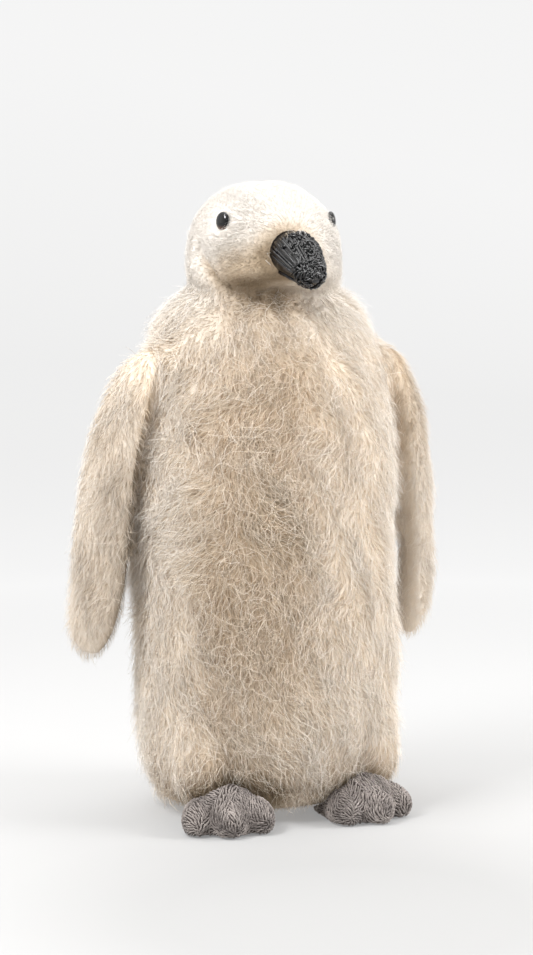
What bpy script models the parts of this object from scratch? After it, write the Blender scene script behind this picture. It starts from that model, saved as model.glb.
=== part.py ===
"""A stuffed toy penguin chick, about 30 cm tall: a plush column of a body with a neck and a round head,
two hanging wings, a stub of a tail, a wound black bill, bead eyes and two three-toed knitted feet.

Metres, +Z up, facing -Y, so that the chick's own left is +X. Every plush solid is the outer form of its
pile, out to the tips. The origin is on the floor, under the middle of the whole toy.
"""

from math import cos, pi, radians, sin

import bmesh
import bpy
from mathutils import Matrix, Vector

# Driving dimensions
HEIGHT = 0.300  # floor to the tips of the pile on the crown
TRUNK_WIDTH = 0.128
TRUNK_DEPTH = 0.117
HEAD_WIDTH = 0.0725
HEAD_DEPTH = 0.077
WING_CHORD = 0.045
WING_THICKNESS = 0.020
BILL_WIDTH = 0.0245
EYE_DIAMETER = 0.0076
FOOT_WIDTH = 0.043
FOOT_HEIGHT = 0.025
GAP = 0.0003  # left between solids that touch

# Where the plush column is parted, up from the floor
SHOULDER_LINE = 0.735 * HEIGHT
CHIN_LINE = 0.832 * HEIGHT

# The column's outline: share of HEIGHT, share of half the trunk's width, then how far it reaches forwards
# and backwards of the middle, in shares of half the trunk's depth. The seat slopes up towards the feet.
COLUMN_FORM = [
    (-0.014, 0.36, -0.05, 0.64),
    (0.010, 0.75, 0.52, 0.84),
    (0.046, 0.90, 0.86, 0.93),
    (0.130, 1.00, 0.99, 1.00),
    (0.360, 1.01, 1.03, 1.00),
    (0.620, 0.96, 0.97, 0.93),
    (0.750, 0.88, 0.83, 0.85),
    (0.816, 0.68, 0.54, 0.69),
    (0.865, 0.48, 0.40, 0.52),
]

# The head's outline: share of HEIGHT, then shares of half its width and of half its depth
HEAD_FORM = [
    (0.800, 0.62, 0.66, 0.62),
    (0.824, 0.99, 0.97, 0.90),
    (0.862, 1.03, 1.08, 0.98),
    (0.912, 1.03, 1.05, 1.02),
    (0.956, 0.88, 0.85, 0.92),
    (0.988, 0.56, 0.54, 0.60),
    (1.002, 0.26, 0.25, 0.28),
]

# The wing's centreline and sections: how far down from shoulder to tip, how far out from the middle of
# the toy in shares of WING_SPREAD, then shares of its chord and of its thickness
WING_TOP = 0.744 * HEIGHT
WING_TIP = 0.257 * HEIGHT
WING_SPREAD = 0.0830
WING_SWEEP = (-0.009, 0.008)  # Y of the centreline at the shoulder and at the tip
WING_TOE_IN = radians(20)  # the leading edge turns in towards the belly
WING_FORM = [
    (0.00, 0.655, 0.42, 0.50),
    (0.09, 0.790, 0.82, 0.90),
    (0.30, 0.900, 0.97, 1.04),
    (0.62, 0.970, 1.02, 1.06),
    (0.88, 0.995, 0.84, 0.86),
    (1.00, 1.000, 0.52, 0.52),
]

# The bill leaves the face at this point and droops on its way forwards
BILL_ROOT = Vector((0, -0.023, 0.900 * HEIGHT))
BILL_REACH = 0.0415
BILL_DROOP = (radians(10), radians(36))
BILL_STEPS = 6

# Middle of each bead, out to the side, forwards and up
EYE_OUT = 0.0280
EYE_FORWARD = 0.0185
EYE_HEIGHT = 0.934 * HEIGHT
EYE_FLATNESS = 0.82

# The plush round each foot: where the middles lie on the left side, and the half sizes
FOOT_SWELL_AT = (0.040, -0.026, 0.036)
FOOT_SWELL = (0.0175, 0.0210, 0.0310)
FOOT_ARCH_AT = (0.037, -0.064, 0.004)
FOOT_ARCH = (0.0235, 0.0225, 0.0195)

# Each foot: where the middle of its toes stands, and how it turns outwards
FOOT_OUT = 0.0335
FOOT_FORWARD = 0.0380
FOOT_SPLAY = radians(12)
TOE_FAN = radians(20)

COLUMN_SIDES = 12
HEAD_SIDES = 10
LIMB_SIDES = 6
BILL_SIDES = 10


def collection(name):
    made = bpy.data.collections.new(name)
    bpy.context.scene.collection.children.link(made)
    return made


def clear_scene():
    for old in list(bpy.data.objects):
        bpy.data.objects.remove(old, do_unlink=True)


def material(name, colour, roughness):
    made = bpy.data.materials.new(name)
    made.use_nodes = True
    shader = made.node_tree.nodes["Principled BSDF"]
    shader.inputs["Base Color"].default_value = (*colour, 1.0)
    shader.inputs["Roughness"].default_value = roughness
    shader.inputs["Metallic"].default_value = 0.0
    return made


def new_object(name, bm, where):
    """Closes a bmesh into an object of this name, its faces turned out."""
    bmesh.ops.recalc_face_normals(bm, faces=bm.faces)
    mesh = bpy.data.meshes.new(name)
    bm.to_mesh(mesh)
    bm.free()
    made = bpy.data.objects.new(name, mesh)
    where.objects.link(made)
    return made


def as_cutter(obj):
    obj.hide_render = True
    obj.display_type = "WIRE"
    return obj


def add_ring(bm, place, half_width, half_depth, sides):
    """One oval ring of a cage, in the XY plane of the matrix place. Returns its edges.

    Subdivision pulls a ring in, so it is drawn larger by the factor that brings it back to its size.
    """
    drawn = 3 / (2 + cos(2 * pi / sides))
    verts = bmesh.ops.create_circle(bm, segments=sides, radius=drawn)["verts"]
    size = Matrix.Diagonal((half_width, half_depth, 1, 1))
    bmesh.ops.transform(bm, matrix=place @ size, verts=verts)
    return list({edge for vert in verts for edge in vert.link_edges})


def cage(name, rings, sides, where, levels=2):
    """A soft closed form: rings (place, half width, half depth) are bridged, capped and subdivided."""
    bm = bmesh.new()
    loops = [add_ring(bm, *ring, sides) for ring in rings]
    for lower, upper in zip(loops, loops[1:]):
        bmesh.ops.bridge_loops(bm, edges=lower + upper)
    bmesh.ops.holes_fill(bm, edges=loops[0] + loops[-1])
    made = as_cutter(new_object(name, bm, where))
    soft = made.modifiers.new("Soft", "SUBSURF")
    soft.levels = levels
    soft.render_levels = levels
    return made


def ellipsoid(name, place, radii, where, segments=16, rings=8):
    bm = bmesh.new()
    bmesh.ops.create_uvsphere(bm, u_segments=segments, v_segments=rings, radius=1.0)
    bmesh.ops.transform(bm, matrix=place @ Matrix.Diagonal((*radii, 1)), verts=bm.verts)
    return new_object(name, bm, where)


def settled(obj, name, where):
    """A plain mesh copy of an object as its modifiers leave it."""
    graph = bpy.context.evaluated_depsgraph_get()
    graph.update()
    mesh = bpy.data.meshes.new_from_object(obj.evaluated_get(graph))
    mesh.name = name
    made = bpy.data.objects.new(name, mesh)
    where.objects.link(made)
    return made


def stand_proud(obj, distance):
    swell = obj.modifiers.new("Proud", "DISPLACE")
    swell.mid_level = 0.0
    swell.strength = distance


def clearance(obj, where):
    """A copy that stands GAP proud of obj all over, to cut its neighbours with."""
    made = as_cutter(settled(obj, obj.name + "_clearance", where))
    stand_proud(made, GAP)
    return made


def boolean(obj, other, operation):
    made = obj.modifiers.new(other.name, "BOOLEAN")
    made.operation = operation
    made.solver = "EXACT"
    made.object = other


def trim(obj, height, keep_above):
    """Cuts a mesh at a level plane, keeps one side of it and closes the cut flat."""
    bm = bmesh.new()
    bm.from_mesh(obj.data)
    bmesh.ops.bisect_plane(
        bm,
        geom=bm.verts[:] + bm.edges[:] + bm.faces[:],
        dist=1e-7,
        plane_co=(0, 0, height),
        plane_no=(0, 0, 1),
        clear_inner=keep_above,
        clear_outer=not keep_above,
    )
    bmesh.ops.contextual_create(bm, geom=[edge for edge in bm.edges if edge.is_boundary])
    bmesh.ops.recalc_face_normals(bm, faces=bm.faces)
    bm.to_mesh(obj.data)
    bm.free()


def smooth_shaded(obj):
    obj.data.shade_smooth()
    obj.data.set_sharp_from_angle(angle=radians(40))


def upright_form(name, form, width, depth, sides, where):
    """Level rings, one above the other, from an outline given in shares of HEIGHT, width and depth."""
    rings = []
    for share, wide, front, back in form:
        middle = (back - front) / 2 * depth / 2
        half_depth = (back + front) / 2 * depth / 2
        place = Matrix.Translation((0, middle, share * HEIGHT))
        rings.append((place, wide * width / 2, half_depth))
    return cage(name, rings, sides, where)


def swept_form(name, path, sections, side_axis, sides, where, levels=2):
    """A cage along a bent path. sections are (half width along side_axis, half depth) at each point."""
    rings = []
    for index, point in enumerate(path):
        before = path[max(index - 1, 0)]
        after = path[min(index + 1, len(path) - 1)]
        along = (after - before).normalized()
        deep = along.cross(side_axis).normalized()
        across = deep.cross(along)
        turn = Matrix((across, deep, along)).transposed().to_4x4()
        rings.append((Matrix.Translation(point) @ turn, *sections[index]))
    return cage(name, rings, sides, where, levels)


def make_column(name, proud, where):
    """Trunk and neck in one: the plush swells out over each foot and lifts in an arch to let it out.

    proud is how far the form stands outside its named size, all over.
    """
    column = upright_form(name, COLUMN_FORM, TRUNK_WIDTH, TRUNK_DEPTH, COLUMN_SIDES, where)
    stand_proud(column, proud)
    for label, side in (("left", 1), ("right", -1)):
        for kind, operation, middle, radii, grow in (
            ("swell", "UNION", FOOT_SWELL_AT, FOOT_SWELL, proud),
            ("arch", "DIFFERENCE", FOOT_ARCH_AT, FOOT_ARCH, -proud),
        ):
            place = Matrix.Translation((side * middle[0], middle[1], middle[2]))
            sizes = [radius + grow for radius in radii]
            lump = ellipsoid(f"{name}_{kind}_{label}", place, sizes, where)
            boolean(column, as_cutter(lump), operation)
    return column


def make_bill(head_clearance, where, helpers):
    """A stout cone that starts inside the face, runs forwards and droops to a blunt tip."""
    path, sections = [BILL_ROOT], []
    for step in range(BILL_STEPS):
        droop = BILL_DROOP[0] + (BILL_DROOP[1] - BILL_DROOP[0]) * step / (BILL_STEPS - 1)
        stride = BILL_REACH / BILL_STEPS
        path.append(path[-1] + stride * Vector((0, -cos(droop), -sin(droop))))
    for step in range(BILL_STEPS + 1):
        along = step / BILL_STEPS
        taper = 1.0 - 0.54 * max(0.0, along - 0.30) / 0.70
        if step == BILL_STEPS:
            taper *= 0.86
        half = BILL_WIDTH / 2 * taper
        sections.append((half, half * (0.94 - 0.12 * along)))
    form = swept_form("bill_form", path, sections, Vector((1, 0, 0)), BILL_SIDES, helpers, levels=1)
    bill = settled(form, "bill", where)
    boolean(bill, head_clearance, "DIFFERENCE")
    return bill


def make_eye(name, side, where):
    """A bead, a little flattened, half sunk in the side of the face."""
    out = Vector((side * EYE_OUT, -EYE_FORWARD, 0.004)).normalized()
    turn = out.to_track_quat("Z", "Y").to_matrix().to_4x4()
    place = Matrix.Translation((side * EYE_OUT, -EYE_FORWARD, EYE_HEIGHT)) @ turn
    radius = EYE_DIAMETER / 2
    return ellipsoid(name, place, (radius, radius, radius * EYE_FLATNESS), where, 14, 8)


def make_wing(name, side, column_clearance, where, helpers):
    """A flat paddle, sewn on under the shoulder, that hangs with its leading edge turned in."""
    path, sections = [], []
    for down, out, chord, thick in WING_FORM:
        back = WING_SWEEP[0] + (WING_SWEEP[1] - WING_SWEEP[0]) * down
        height = WING_TOP + (WING_TIP - WING_TOP) * down
        path.append(Vector((side * out * WING_SPREAD, back, height)))
        sections.append((chord * WING_CHORD / 2, thick * WING_THICKNESS / 2))
    chord_axis = Vector((-side * sin(WING_TOE_IN), -cos(WING_TOE_IN), 0))
    form = swept_form(name + "_form", path, sections, chord_axis, LIMB_SIDES, helpers)
    wing = settled(form, name, where)
    boolean(wing, column_clearance, "DIFFERENCE")
    return wing


def make_tail(column_clearance, where, helpers):
    """A short flat stub, low at the back, that points down and ends just clear of the floor."""
    path = [Vector((0, 0.040 + 0.0075 * step, 0.037 - 0.0066 * step)) for step in range(5)]
    widths = [0.028, 0.026, 0.0225, 0.018, 0.012]
    sections = [(half, 0.012 - 0.0018 * step) for step, half in enumerate(widths)]
    form = swept_form("tail_form", path, sections, Vector((1, 0, 0)), BILL_SIDES, helpers, levels=1)
    tail = settled(form, "tail", where)
    boolean(tail, column_clearance, "DIFFERENCE")
    return tail


def make_foot(name, side, column_clearance, where, helpers):
    """An instep and three toes that fan out from it, knitted in one and flat underneath."""
    stand = Matrix.Translation((side * FOOT_OUT, -FOOT_FORWARD, 0)) @ Matrix.Rotation(
        side * FOOT_SPLAY, 4, "Z"
    )
    toe_radii = (FOOT_WIDTH * 0.22, 0.0155, 0.0105)
    instep_at = stand @ Matrix.Translation((0, 0.004, FOOT_HEIGHT * 0.25))
    instep_radii = (FOOT_WIDTH * 0.42, 0.0255, FOOT_HEIGHT * 0.75)
    foot = as_cutter(ellipsoid(name + "_form", instep_at, instep_radii, helpers))
    for label, hand in (("middle", 0), ("inner", -side), ("outer", side)):
        forward = 0.0100 if hand == 0 else 0.0050
        toe_at = (
            stand
            @ Matrix.Translation((hand * FOOT_WIDTH * 0.275, -forward, 0.0064))
            @ Matrix.Rotation(hand * TOE_FAN, 4, "Z")
        )
        toe = ellipsoid(f"{name}_{label}_toe", toe_at, toe_radii, helpers)
        boolean(foot, as_cutter(toe), "UNION")
    made = settled(foot, name, where)
    trim(made, 0, keep_above=True)
    boolean(made, column_clearance, "DIFFERENCE")
    return made


def middle_on_floor(parts):
    """The point on the floor under the middle of the parts' common bounding box."""
    graph = bpy.context.evaluated_depsgraph_get()
    graph.update()
    corners = [Vector(corner) for part in parts for corner in part.evaluated_get(graph).bound_box]
    spans = [[corner[axis] for corner in corners] for axis in (0, 1)]
    return Vector([(min(span) + max(span)) / 2 for span in spans] + [0])


def main():
    clear_scene()
    toy = collection("stuffed_penguin_chick")
    helpers = collection("forms_and_cutters")

    column = make_column("column_form", 0, helpers)
    column_clearance = make_column("column_clearance", GAP, helpers)
    skull = upright_form("head_form", HEAD_FORM, HEAD_WIDTH, HEAD_DEPTH, HEAD_SIDES, helpers)
    head_clearance = clearance(skull, helpers)

    trunk = settled(column, "trunk", toy)
    trim(trunk, 0, keep_above=True)
    trim(trunk, SHOULDER_LINE - GAP / 2, keep_above=False)
    neck = settled(column, "neck", toy)
    trim(neck, SHOULDER_LINE + GAP / 2, keep_above=True)
    trim(neck, CHIN_LINE - GAP / 2, keep_above=False)
    head = settled(skull, "head", toy)
    trim(head, CHIN_LINE + GAP / 2, keep_above=True)
    plush = [trunk, neck, head, make_tail(column_clearance, toy, helpers)]
    bill = make_bill(head_clearance, toy, helpers)

    eyes, feet = [], []
    for label, side in (("left", 1), ("right", -1)):
        eye = make_eye(f"eye_{label}", side, toy)
        boolean(head, clearance(eye, helpers), "DIFFERENCE")
        eyes.append(eye)
        plush.append(make_wing(f"wing_{label}", side, column_clearance, toy, helpers))
        feet.append(make_foot(f"foot_{label}", side, column_clearance, toy, helpers))

    cream = material("cream_pile", (0.80, 0.74, 0.64), 0.95)
    taupe = material("taupe_knit", (0.36, 0.32, 0.30), 0.95)
    black = material("black_winding", (0.02, 0.02, 0.022), 0.45)
    bead = material("black_bead", (0.01, 0.01, 0.01), 0.08)
    for parts, finish in ((plush, cream), (feet, taupe), ([bill], black), (eyes, bead)):
        for part in parts:
            part.data.materials.clear()
            part.data.materials.append(finish)
            smooth_shaded(part)

    middle = middle_on_floor(plush + feet + [bill] + eyes)
    for obj in list(toy.objects) + list(helpers.objects):
        obj.location -= middle


main()
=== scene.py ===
"""Looks of a stuffed toy penguin chick: a plush skin under a long cream pile, a bill of laid black thread,
bead eyes and knitted feet, on a plain pale sweep. Metres, +Z up; the chick faces -Y."""

from math import cos, pi, radians, sin

import bmesh
import bpy
import numpy as np
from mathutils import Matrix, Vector
from mathutils.bvhtree import BVHTree
from mathutils.kdtree import KDTree


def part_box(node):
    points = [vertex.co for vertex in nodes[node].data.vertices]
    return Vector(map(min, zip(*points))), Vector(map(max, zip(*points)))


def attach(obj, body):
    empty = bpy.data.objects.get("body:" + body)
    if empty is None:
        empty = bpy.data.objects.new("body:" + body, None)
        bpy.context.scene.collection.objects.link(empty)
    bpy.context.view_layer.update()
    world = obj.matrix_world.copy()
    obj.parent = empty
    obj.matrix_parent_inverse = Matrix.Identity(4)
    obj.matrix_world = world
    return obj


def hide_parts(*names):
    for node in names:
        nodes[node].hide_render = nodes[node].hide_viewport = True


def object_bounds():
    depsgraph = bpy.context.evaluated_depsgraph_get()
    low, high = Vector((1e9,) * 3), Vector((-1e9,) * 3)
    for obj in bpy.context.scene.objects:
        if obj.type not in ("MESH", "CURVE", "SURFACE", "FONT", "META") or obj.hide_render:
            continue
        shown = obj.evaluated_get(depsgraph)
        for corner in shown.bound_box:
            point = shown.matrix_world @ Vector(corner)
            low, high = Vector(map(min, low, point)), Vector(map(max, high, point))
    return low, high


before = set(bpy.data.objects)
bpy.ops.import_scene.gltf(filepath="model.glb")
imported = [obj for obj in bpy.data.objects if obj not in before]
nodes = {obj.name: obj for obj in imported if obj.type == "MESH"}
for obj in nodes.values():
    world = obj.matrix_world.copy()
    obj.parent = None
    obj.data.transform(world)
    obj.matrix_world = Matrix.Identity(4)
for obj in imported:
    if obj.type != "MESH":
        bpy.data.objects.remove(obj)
cad_low, cad_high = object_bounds()
toy_height = cad_high[2] - cad_low[2]
bpy.ops.object.select_all(action="DESELECT")


# The view: a long lens a little above the toy's middle, off to the chick's right, so that both eyes show
# and the bill points past the camera.
view_turn = radians(-21)
view_rise = radians(6.5)
view_away = 4.0 * toy_height
aim = Vector((0.0027, -0.0010, 0.5285 * toy_height))
back_to_lens = Vector(
    (sin(view_turn) * cos(view_rise), -cos(view_turn) * cos(view_rise), sin(view_rise))
)
lens = bpy.data.cameras.new("view")
lens.lens = 94.4
lens.sensor_width = 36
camera = bpy.data.objects.new("view", lens)
camera.location = aim + view_away * back_to_lens
camera.rotation_euler = back_to_lens.to_track_quat("Z", "Y").to_euler()
bpy.context.scene.collection.objects.link(camera)
bpy.context.scene.camera = camera
bpy.context.scene.view_settings.view_transform = "Standard"


# The sweep: one pale sheet that lies under the toy and curves up far behind it, with no edge in sight.
# It is lit from inside away from the toy, so that it stays even, and takes soft shadows near the feet.
bpy.ops.mesh.primitive_plane_add(size=1, location=(0, 0, 0))
sweep = bpy.context.object
sweep.name = "sweep"
sweep_width, sweep_front, sweep_back, sweep_bend, sweep_top = 9.0, -3.0, 1.6, 1.4, 4.0
bend_steps = 12
profile = [(sweep_front, 0.0)]
for step in range(bend_steps + 1):
    turn = radians(90) * step / bend_steps
    profile.append((sweep_back + sweep_bend * sin(turn), sweep_bend * (1 - cos(turn))))
profile.append((sweep_back + sweep_bend, sweep_top))
bm = bmesh.new()
rails = [[bm.verts.new((side * sweep_width / 2, y, z)) for y, z in profile] for side in (-1, 1)]
for step in range(len(profile) - 1):
    bm.faces.new((rails[0][step], rails[1][step], rails[1][step + 1], rails[0][step + 1]))
bm.to_mesh(sweep.data)
bm.free()
sweep.data.shade_smooth()


def feed(tree, node, inputs):
    """Gives a node its inputs: values to set, or outputs of other nodes to link."""
    for label, value in inputs.items():
        if isinstance(value, bpy.types.NodeSocket):
            tree.links.new(value, node.inputs[label])
        else:
            node.inputs[label].default_value = value


def add_node(tree, kind, inputs=None, **settings):
    """Adds a node with its settings and its inputs, and returns its outputs."""
    made = tree.nodes.new(kind)
    for label, value in settings.items():
        setattr(made, label, value)
    feed(tree, made, inputs or {})
    return made.outputs


def add_math(tree, operation, *inputs, **settings):
    """Adds one step of arithmetic and returns its result."""
    return add_node(tree, "ShaderNodeMath", dict(enumerate(inputs)), operation=operation, **settings)[0]


def rescale(tree, value, from_min, from_max, to_min=0.0, to_max=1.0, **settings):
    """Maps a value from one range to another, no further than its ends."""
    limits = {"From Min": from_min, "From Max": from_max, "To Min": to_min, "To Max": to_max}
    return add_node(tree, "ShaderNodeMapRange", {"Value": value, **limits}, **settings)["Result"]


def add_ramp(tree, value, *stops):
    """Turns a value into a colour by a ramp of stops, each a position and a colour."""
    made = tree.nodes.new("ShaderNodeValToRGB")
    tree.links.new(value, made.inputs["Fac"])
    elements = made.color_ramp.elements
    for end, (place, colour) in zip(elements, (stops[0], stops[-1])):
        end.position = place
        end.color = (*colour, 1)
    for place, colour in stops[1:-1]:
        elements.new(place).color = (*colour, 1)
    return made.outputs["Color"]


def new_material(name):
    """A material, its nodes' tree and its shader."""
    made = bpy.data.materials.new(name)
    made.use_nodes = True
    return made, made.node_tree, made.node_tree.nodes["Principled BSDF"]


paper, tree, shader = new_material("pale_paper")
toy_front = (-0.035, -0.190, 0)
spot = add_node(tree, "ShaderNodeTexCoord")["Object"]
reach = add_node(tree, "ShaderNodeVectorMath", {0: spot, 1: toy_front}, operation="DISTANCE")["Value"]
glow_span = 3.2  # metres from the front of the toy that the glow's ramp covers
glow_levels = [(0.08, 0.12), (0.15, 0.24), (0.25, 0.33), (0.45, 0.46), (0.89, 0.745), (1.39, 0.735)]
glow_levels += [(2.3, 0.75), (3.0, 0.82)]
glow_stops = [(away / glow_span, (level, level, level)) for away, level in glow_levels]
feed(tree, shader, {
    "Roughness": 0.9,
    "Specular IOR Level": 0.0,
    "Base Color": rescale(tree, reach, 0.10, 1.00, 0.31, 0.10, interpolation_type="SMOOTHSTEP"),
    "Emission Color": add_ramp(tree, add_math(tree, "DIVIDE", reach, glow_span), *glow_stops),
    "Emission Strength": 1.0,
})
sweep.data.materials.clear()
sweep.data.materials.append(paper)


# The light: a white room that is dimmer on the camera's side, one wide softbox over the toy and a little
# behind it, one high up on the left, which also gives the glint in the eyes, one on the right, and two small
# lamps, over the toy's bill and beside the camera, for the glints on the waxed thread.
room = bpy.data.worlds.new("white_room")
room.use_nodes = True
bpy.context.scene.world = room
tree = room.node_tree
facing = add_node(tree, "ShaderNodeTexCoord")["Generated"]
back_to_front = add_node(tree, "ShaderNodeSeparateXYZ", {"Vector": facing})["Y"]
feed(tree, tree.nodes["Background"], {
    "Color": (1, 0.982, 0.955, 1),
    "Strength": rescale(tree, back_to_front, -0.9, 0.5, 0.54, 1.35),
})
for label, place, width, power in (
    ("softbox_above", (0.1, 0.25, 1.5), 1.1, 9.0),
    ("softbox_left", (-0.90, -0.40, 1.10), 0.45, 15.5),
    ("softbox_right", (1.10, -0.62, 0.65), 0.6, 19.0),
    ("glint_above", (-0.66, -0.05, 1.20), 0.2, 3.0),
    ("glint_front", (-0.50, -1.35, 0.80), 0.14, 1.3),
):
    panel = bpy.data.lights.new(label, "AREA")
    panel.size = width
    panel.energy = power
    lamp = bpy.data.objects.new(label, panel)
    lamp.location = place
    from_toy = Vector(place) - Vector((0, 0, 0.5 * toy_height))
    lamp.rotation_euler = from_toy.to_track_quat("Z", "Y").to_euler()
    bpy.context.scene.collection.objects.link(lamp)


# The skin: one sewn bag of woven backing cloth over the filling, from crown to seat with the wings and the
# tail. It is drawn in from the outline of the toy by the depth of the pile that stands on it.
pile_depth = {
    "trunk": 0.0046,
    "neck": 0.0044,
    "head": 0.0024,
    "tail": 0.0032,
    "wing_left": 0.0036,
    "wing_right": 0.0036,
}
cloth_grid = 0.0018  # size of the skin's faces
overlap = 0.0006  # how far the pieces are let out, so that they meet in one skin
weld = ("WELD", dict(merge_threshold=0.00002))  # joins the corners that neighbouring faces share


def cut_from(node, label):
    """Starts a piece as a copy of a CAD node's surface and makes it the only one selected."""
    bpy.ops.object.select_all(action="DESELECT")
    piece = bpy.data.objects.new(label, nodes[node].data.copy())
    bpy.context.scene.collection.objects.link(piece)
    bpy.context.view_layer.objects.active = piece
    piece.select_set(True)
    return piece


def rework(piece, *steps):
    """Applies modifiers to a piece one after another, each given as its kind and its settings."""
    bpy.context.view_layer.objects.active = piece
    for kind, settings in steps:
        step = piece.modifiers.new(kind, kind)
        for label, value in settings.items():
            setattr(step, label, value)
        bpy.ops.object.modifier_apply(modifier=step.name)


def net(size):
    """The step that covers a piece with an even net of faces."""
    return "REMESH", dict(mode="VOXEL", voxel_size=size)


def ease(passes):
    """The step that smooths a piece."""
    return "SMOOTH", dict(factor=0.5, iterations=passes)


def let_out(width):
    """The step that moves a piece's surface outwards, or inwards where width is negative."""
    return "DISPLACE", dict(mid_level=0.0, strength=width)


panels = [cut_from(name, "cut_" + name) for name in pile_depth]
for panel in panels:
    rework(panel, weld, let_out(overlap))
for panel in panels:
    panel.select_set(True)
bpy.ops.object.join()
skin = bpy.context.view_layer.objects.active
skin.name = "skin"
skin.data.name = "skin"
rework(skin, net(cloth_grid), ease(5))


def read_points(mesh):
    flat = np.empty(len(mesh.vertices) * 3, np.float32)
    mesh.vertices.foreach_get("co", flat)
    return flat.reshape(-1, 3).astype(float)


def read_normals(mesh):
    flat = np.empty(len(mesh.vertices) * 3, np.float32)
    mesh.vertex_normals.foreach_get("vector", flat)
    return flat.reshape(-1, 3).astype(float)


def write_points(mesh, points):
    mesh.vertices.foreach_set("co", points.astype(np.float32).ravel())
    mesh.update()


def unit(vectors):
    return vectors / np.maximum(np.linalg.norm(vectors, axis=-1, keepdims=True), 1e-12)


def waves(points, size, seed, count=10):
    """A smooth random field, mostly within -1..1, whose swells are about size across."""
    draw = np.random.default_rng(seed)
    field = np.zeros(len(points))
    for heading, phase in zip(unit(draw.normal(size=(count, 3))), draw.uniform(0, 2 * pi, count)):
        field += np.sin(points @ heading * pi / size + phase)
    return field * (1.4 / count) ** 0.5


def hump(values, middle, half_width):
    """A smooth bell: 1 at the middle, about a third at half_width from it."""
    return np.exp(-(((values - middle) / half_width) ** 2))


points = read_points(skin.data)
normals = read_normals(skin.data)
pairs = np.empty(len(skin.data.edges) * 2, np.int32)
skin.data.edges.foreach_get("vertices", pairs)
pairs = pairs.reshape(-1, 2)


def spread(values, passes):
    """Evens a value out along the cloth, each pass over one more ring of neighbours."""
    ends = np.concatenate((pairs[:, 0], pairs[:, 1]))
    others = np.concatenate((pairs[:, 1], pairs[:, 0]))
    shared = 1 + np.bincount(ends, minlength=len(values))
    for _ in range(passes):
        values = (values + np.bincount(ends, values[others], len(values))) / shared
    return values


def surface_of(mesh):
    """A finder for the nearest spot on a mesh's surface."""
    return BVHTree.FromPolygons(
        [vert.co for vert in mesh.vertices], [face.vertices for face in mesh.polygons]
    )


def distance_to(name, where):
    """How far each point is from the surface of a CAD node."""
    surface = surface_of(nodes[name].data)
    return np.array([surface.find_nearest(Vector(point))[3] for point in where])


eye_middle = {side: sum(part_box(f"eye_{side}"), Vector()) / 2 for side in ("left", "right")}


def distance_to_eyes(where):
    """How far each point is from the middle of the nearer eye."""
    return np.min([np.linalg.norm(where - np.array(eye), axis=1) for eye in eye_middle.values()], axis=0)


parts = list(pile_depth)
part_of = np.array([distance_to(name, points) for name in parts]).argmin(axis=0)
is_part = {name: (part_of == index).astype(float) for index, name in enumerate(parts)}
on_head, on_neck = is_part["head"], is_part["neck"]
on_trunk = is_part["trunk"] + is_part["tail"]
on_wing = is_part["wing_left"] + is_part["wing_right"]
depth_there = np.array([pile_depth[name] for name in parts])[part_of]
depth = spread(depth_there, 8)
seat = spread(((normals[:, 2] < -0.75) & (points[:, 2] < 0.014)).astype(float), 4)
depth = depth * (1 - seat) + 0.0015 * seat
depth *= 1 - 0.75 * hump(distance_to_eyes(points), 0, 0.007)
points = points - normals * depth[:, None]

# Folds: the chin overhangs a drawn-in throat, a roll with a crease beside it lies on the right cheek, and
# shallow puckers run round the neck. The filling bulges at the shoulders, the sides and the wings' ends.
head_low, head_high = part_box("head")
head_middle = (head_low + head_high) / 2
around = np.degrees(np.arctan2(points[:, 0] - head_middle.x, -(points[:, 1] - head_middle.y)))
height = points[:, 2]
inner_side = on_wing * (normals[:, 0] * np.sign(points[:, 0]) < 0.1)
upper = on_head + on_neck + on_trunk * (height > 0.2)
chin_line = 0.2542 - 0.0022 * (around / 60) ** 2
front = 1 / (1 + np.exp((np.abs(around + 9) - 36) / 8))
below = np.where(height > chin_line, hump(height, chin_line, 0.0014), hump(height, chin_line, 0.0110))
throat = front * below
chin = front * hump(height, chin_line + 0.0048, 0.0042)
roll = hump(around, -84, 17) * hump(height, 0.2575, 0.0090)
crease_line = np.interp(height, [0.246, 0.252, 0.258, 0.268], [-52, -57, -66, -82])
crease = hump(around, crease_line, 4.8) * hump(height, 0.2595, 0.0105)
pucker = hump(height, 0.236, 0.011) * np.sin(np.radians(around) * 9 + 2 * np.sin(np.radians(around) * 2))
push = upper * (0.0034 * chin + 0.0024 * roll - 0.0100 * crease + 0.0007 * pucker)
rightwards, leftwards = np.clip(-points[:, 0] / 0.050, 0, 1), np.clip(points[:, 0] / 0.050, 0, 1)
push += 0.0034 * (rightwards + leftwards) * hump(height, 0.236, 0.015) * (1 - inner_side)
push += 0.0035 * on_wing * hump(height, 0.090, 0.018)
push += on_trunk * leftwards * (0.0030 * hump(height, 0.062, 0.038) + 0.0028 * hump(height, 0.016, 0.014))
push += 0.0030 * on_trunk * leftwards * hump(height, 0.180, 0.035)
push += 0.0055 * on_trunk * rightwards * hump(height, 0.158, 0.036)
push -= 0.0030 * inner_side * (points[:, 0] < 0) * hump(height, 0.175, 0.035)
inwards = unit(np.array((head_middle.x, head_middle.y, 0)) - points * (1, 1, 0))
points += normals * push[:, None] + inwards * (0.0105 * upper * throat)[:, None]

# The wings: both ends are narrower and hang a little towards the chick's right
for name, edge in (("wing_right", -0.0926), ("wing_left", 0.0715)):
    narrow = is_part[name] * np.clip((0.112 - height) / 0.034, 0, 1)
    points[:, 0] -= 0.38 * narrow * (points[:, 0] - edge)

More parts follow.
